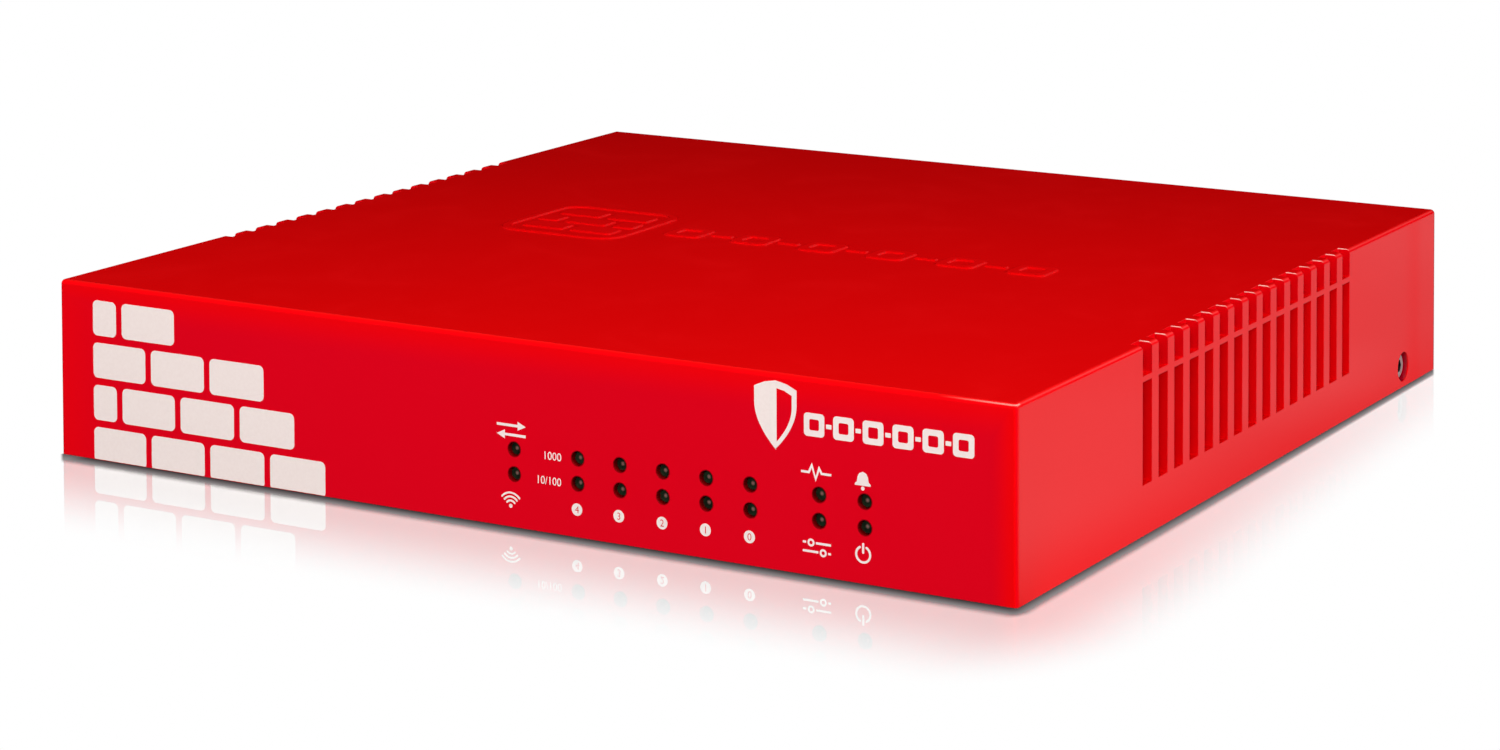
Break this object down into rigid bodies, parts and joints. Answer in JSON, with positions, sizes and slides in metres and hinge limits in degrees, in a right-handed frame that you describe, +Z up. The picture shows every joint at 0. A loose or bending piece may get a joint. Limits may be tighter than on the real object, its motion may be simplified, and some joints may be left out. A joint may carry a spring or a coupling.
{
  "type": "firewall appliance",
  "caption": "Flat red desktop network firewall: one-piece moulded cover with side vent slots and front status lights, steel tray, rear jacks, rocker switch and reset button.",
  "frame": {"origin": "centre of the footprint, on the plane the rubber feet rest on", "axes": "+Z up, +X to the right when facing the front panel, the front panel faces -Y and the connectors face +Y"},
  "size_m": [0.216, 0.205, 0.0373],
  "materials": {
    "case_red": "gloss",
    "tray_paint": "satin",
    "panel_paint": "satin",
    "screw_steel": "satin",
    "foot_rubber": "matte",
    "label": "satin",
    "board": "satin",
    "plated_steel": "satin",
    "chip": "matte",
    "thermal_pad": "matte",
    "heat_sink": "satin",
    "heat_sink_black": "satin",
    "white_plastic": "satin",
    "spring_steel": "satin",
    "ferrite": "matte",
    "capacitor_can": "satin",
    "ceramic_part": "matte",
    "crystal_can": "polished",
    "black_plastic": "satin",
    "cell_steel": "polished",
    "brass": "satin",
    "antenna_board": "satin",
    "lead_jacket": "satin",
    "jack_steel": "satin",
    "jack_plastic": "satin",
    "contact_gold": "polished",
    "jack_light": "gloss",
    "usb_plastic": "satin",
    "switch_plastic": "satin",
    "rocker_plastic": "satin",
    "wire_jacket": "satin",
    "reset_plastic": "satin",
    "led_body": "gloss",
    "light_pipe": "gloss"
  },
  "bodies": {
    "chassis": {"top_cover": "case_red", "base_tray": "tray_paint", "rear_panel": "panel_paint", "cover_screws": "screw_steel", "rear_panel_screws": "screw_steel", "rubber_feet": "foot_rubber", "rating_label": "label", "main_board": "board", "board_standoffs": "plated_steel", "board_screws": "screw_steel", "soc_package": "chip", "soc_thermal_pad": "thermal_pad", "soc_heat_sink": "heat_sink", "heat_sink_pins": "white_plastic", "heat_sink_springs": "spring_steel", "memory_chips": "chip", "flash_chip": "chip", "switch_chip": "chip", "switch_chip_heat_sink": "heat_sink_black", "network_transformers": "chip", "power_inductors": "ferrite", "electrolytic_capacitors": "capacitor_can", "ceramic_parts": "ceramic_part", "crystals": "crystal_can", "coin_cell_holder": "black_plastic", "coin_cell": "cell_steel", "wifi_card": "board", "wifi_shield_can": "plated_steel", "wifi_socket": "black_plastic", "wifi_card_standoffs": "brass", "wifi_card_screws": "screw_steel", "coax_connectors": "brass", "wifi_antennas": "antenna_board", "antenna_leads": "lead_jacket", "lan_jack_shells": "jack_steel", "lan_jack_housings": "jack_plastic", "lan_jack_contacts": "contact_gold", "lan_jack_lights": "jack_light", "console_jack_shell": "jack_steel", "console_jack_housing": "jack_plastic", "console_jack_contacts": "contact_gold", "usb_jack_shell": "jack_steel", "usb_jack_insulators": "usb_plastic", "usb_jack_contacts": "contact_gold", "dc_jack_housing": "black_plastic", "dc_jack_pin": "plated_steel", "switch_housing": "switch_plastic", "switch_terminals": "plated_steel", "switch_wires": "wire_jacket", "switch_header": "white_plastic", "reset_switch_body": "black_plastic", "status_leds": "led_body", "light_pipe_left": "light_pipe", "light_pipe_ports": "light_pipe", "light_pipe_right": "light_pipe"},
    "rocker": {"power_rocker": "rocker_plastic"},
    "reset": {"reset_button": "reset_plastic"}
  },
  "joints": [
    {"name": "power_rocker_tilt", "type": "hinge", "parent": "chassis", "child": "rocker", "pos_m": [0.072, 0.0979, 0.02], "axis": [1, 0, 0], "range_deg": [0, 16]},
    {"name": "reset_press", "type": "slide", "parent": "chassis", "child": "reset", "axis": [0, -1, 0], "range_m": [0, 0.0005]}
  ]
}
